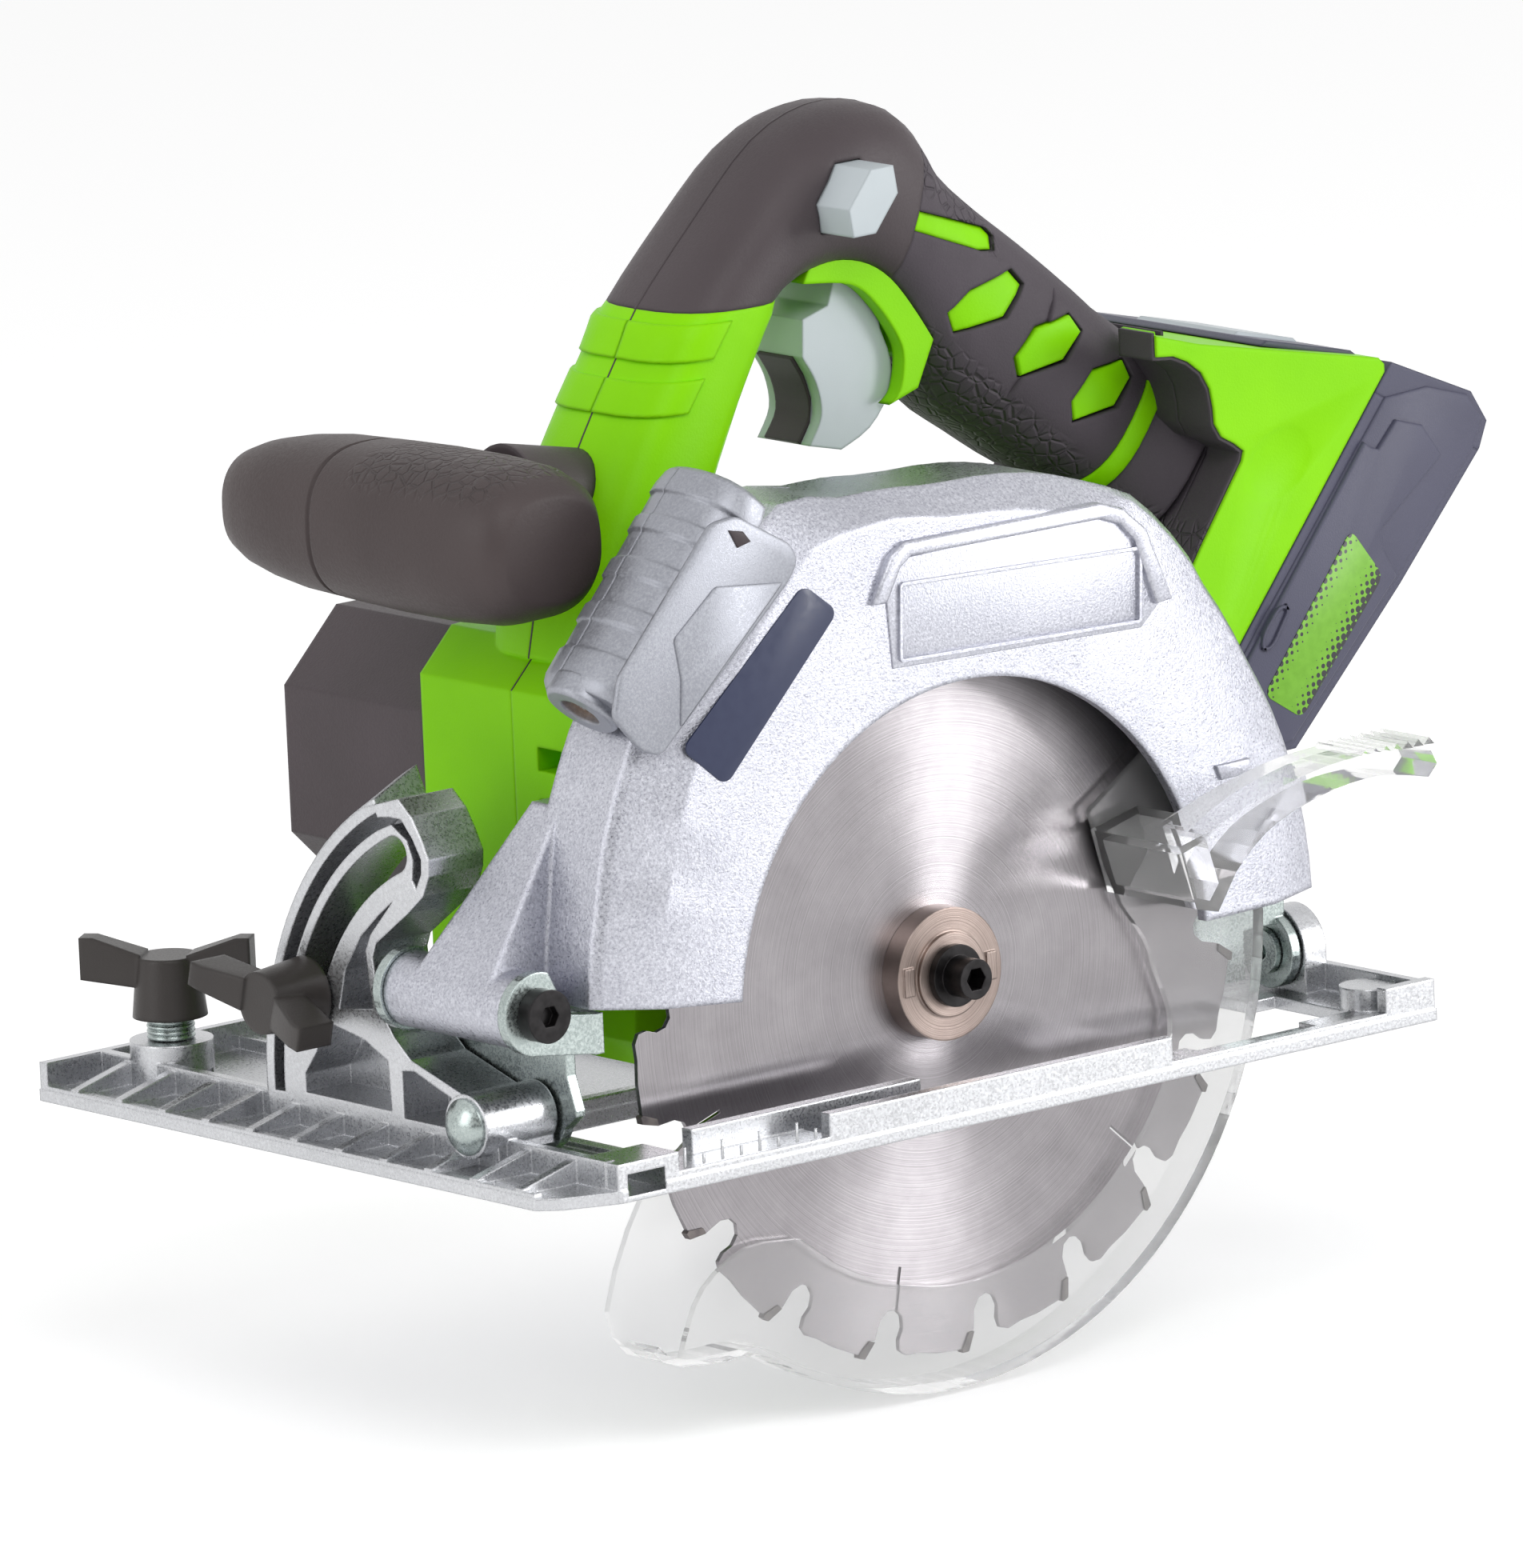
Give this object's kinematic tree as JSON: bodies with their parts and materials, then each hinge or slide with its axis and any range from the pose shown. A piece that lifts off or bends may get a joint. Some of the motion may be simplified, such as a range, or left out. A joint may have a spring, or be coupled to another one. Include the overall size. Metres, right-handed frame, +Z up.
{
  "type": "circular saw",
  "caption": "Battery circular saw with the blade on the left, a closed rear handle, a cross handle in front and a cast sole that tilts for depth and bevel.",
  "frame": {"origin": "on the sole's underside, straight below the arbor, in the plane of the blade", "axes": "+X to the rear of the sole, where the battery is; +Y from the blade towards the motor; +Z up from the sole"},
  "size_m": [0.2986, 0.181, 0.2653],
  "materials": {
    "cast_silver": "satin",
    "cast_aluminium": "satin",
    "laser_grey": "satin",
    "green_housing": "satin",
    "dark_rubber": "matte",
    "dark_plastic": "matte",
    "pale_grey": "satin",
    "blade_steel": "brushed",
    "carbide": "satin",
    "steel": "satin",
    "flange_steel": "satin",
    "black_steel": "gloss",
    "zinc_steel": "satin",
    "brass": "gloss",
    "copper": "satin",
    "magnet": "matte",
    "cell_wrap": "gloss",
    "clear_guard": "gloss"
  },
  "bodies": {
    "saw": {"upper_guard": "cast_silver", "guard_panel": "cast_silver", "gear_case": "cast_silver", "gear_cover": "cast_silver", "housing_right": "green_housing", "housing_left": "green_housing", "grip_cap": "dark_rubber", "grip_rubber": "dark_rubber", "motor_end_cap": "dark_plastic", "motor_can": "steel", "motor_magnets": "magnet", "brush_holders": "brass", "front_grip": "dark_rubber", "front_grip_neck": "dark_rubber", "laser_case_right": "laser_grey", "laser_case_left": "laser_grey", "laser_lens": "brass", "case_screws": "steel", "guard_screws": "steel", "case_bearings": "steel", "motor_bearings": "steel", "switch_unit": "dark_plastic", "dock_terminals": "brass", "guard_spring": "steel", "lock_stud": "steel"},
    "blade": {"saw_blade": "blade_steel", "carbide_tips": "carbide", "inner_flange": "flange_steel", "outer_flange": "flange_steel", "blade_bolt": "black_steel", "spindle": "steel", "spindle_gear": "steel"},
    "countershaft": {"countershaft": "steel", "counter_gear": "steel"},
    "rotor": {"rotor_shaft": "steel", "armature": "copper", "commutator": "copper", "fan": "dark_plastic"},
    "lower_guard": {"lower_guard": "clear_guard", "guard_lever": "clear_guard"},
    "trigger": {"trigger": "pale_grey", "trigger_pad": "dark_plastic"},
    "lock_off": {"lock_off_button": "pale_grey"},
    "battery": {"battery_case": "dark_plastic", "battery_cover": "dark_plastic", "battery_cells": "cell_wrap"},
    "battery_latch": {"battery_latch": "pale_grey"},
    "spindle_lock": {"spindle_lock": "dark_plastic"},
    "depth_lever": {"depth_lever": "dark_plastic"},
    "tilt_bracket": {"tilt_bracket": "zinc_steel", "rear_bracket": "zinc_steel", "depth_bolt": "black_steel"},
    "bevel_knob": {"bevel_knob": "dark_plastic"},
    "sole": {"sole": "cast_aluminium", "pivot_rivets": "zinc_steel", "fence_spring": "zinc_steel"},
    "fence_knob": {"fence_knob": "dark_plastic"}
  },
  "joints": [
    {"name": "blade_spin", "type": "hinge", "parent": "saw", "child": "blade", "pos_m": [0, 0, 0.0275], "axis": [0, 1, 0], "continuous": true},
    {"name": "countershaft_spin", "type": "hinge", "parent": "saw", "child": "countershaft", "pos_m": [-0.01775, 0, 0.0509], "axis": [0, 1, 0], "continuous": true},
    {"name": "rotor_spin", "type": "hinge", "parent": "saw", "child": "rotor", "pos_m": [-0.038, 0, 0.068], "axis": [0, 1, 0], "continuous": true},
    {"name": "lower_guard_swing", "type": "hinge", "parent": "saw", "child": "lower_guard", "pos_m": [0, 0, 0.0275], "axis": [0, -1, 0], "range_deg": [0, 120], "stiffness_Nm_per_rad": 0.05, "springref_deg": -91.67},
    {"name": "trigger_pull", "type": "hinge", "parent": "saw", "child": "trigger", "pos_m": [0.0225, 0.05, 0.1705], "axis": [0, -1, 0], "range_deg": [0, 7], "stiffness_Nm_per_rad": 1.5, "springref_deg": -5.73},
    {"name": "lock_off_press", "type": "slide", "parent": "saw", "child": "lock_off", "axis": [0, 1, 0], "range_m": [0, 0.006], "stiffness_N_per_m": 300, "springref_m": -0.003},
    {"name": "battery_slide", "type": "slide", "parent": "saw", "child": "battery", "axis": [0.6428, 0, 0.766], "range_m": [0, 0.11]},
    {"name": "battery_latch_press", "type": "slide", "parent": "battery", "child": "battery_latch", "axis": [-0.6428, 0, -0.766], "range_m": [0, 0.0018], "stiffness_N_per_m": 400, "springref_m": -0.003},
    {"name": "spindle_lock_press", "type": "slide", "parent": "saw", "child": "spindle_lock", "axis": [0, -1, 0], "range_m": [0, 0.004], "stiffness_N_per_m": 400, "springref_m": -0.003},
    {"name": "depth_lever_turn", "type": "hinge", "parent": "saw", "child": "depth_lever", "pos_m": [0.05677, 0.02, 0.02837], "axis": [0, -1, 0], "range_deg": [0, 60]},
    {"name": "depth_tilt", "type": "hinge", "parent": "saw", "child": "tilt_bracket", "pos_m": [-0.108, 0.02, 0.037], "axis": [0, 1, 0], "range_deg": [0, 27]},
    {"name": "bevel_tilt", "type": "hinge", "parent": "tilt_bracket", "child": "sole", "pos_m": [0, 0.0165, 0.0115], "axis": [-1, 0, 0], "range_deg": [0, 45]},
    {"name": "bevel_knob_turn", "type": "hinge", "parent": "tilt_bracket", "child": "bevel_knob", "pos_m": [-0.11, 0.07175, 0.03161], "axis": [1, 0, 0], "continuous": true},
    {"name": "fence_knob_turn", "type": "hinge", "parent": "sole", "child": "fence_knob", "pos_m": [-0.0993, 0.132, 0.014], "axis": [0, 0, 1], "continuous": true}
  ],
  "couplings": [
    {"joint": "countershaft_spin", "follows": "blade_spin", "ratio": -1.6111},
    {"joint": "rotor_spin", "follows": "blade_spin", "ratio": 4.9573}
  ]
}
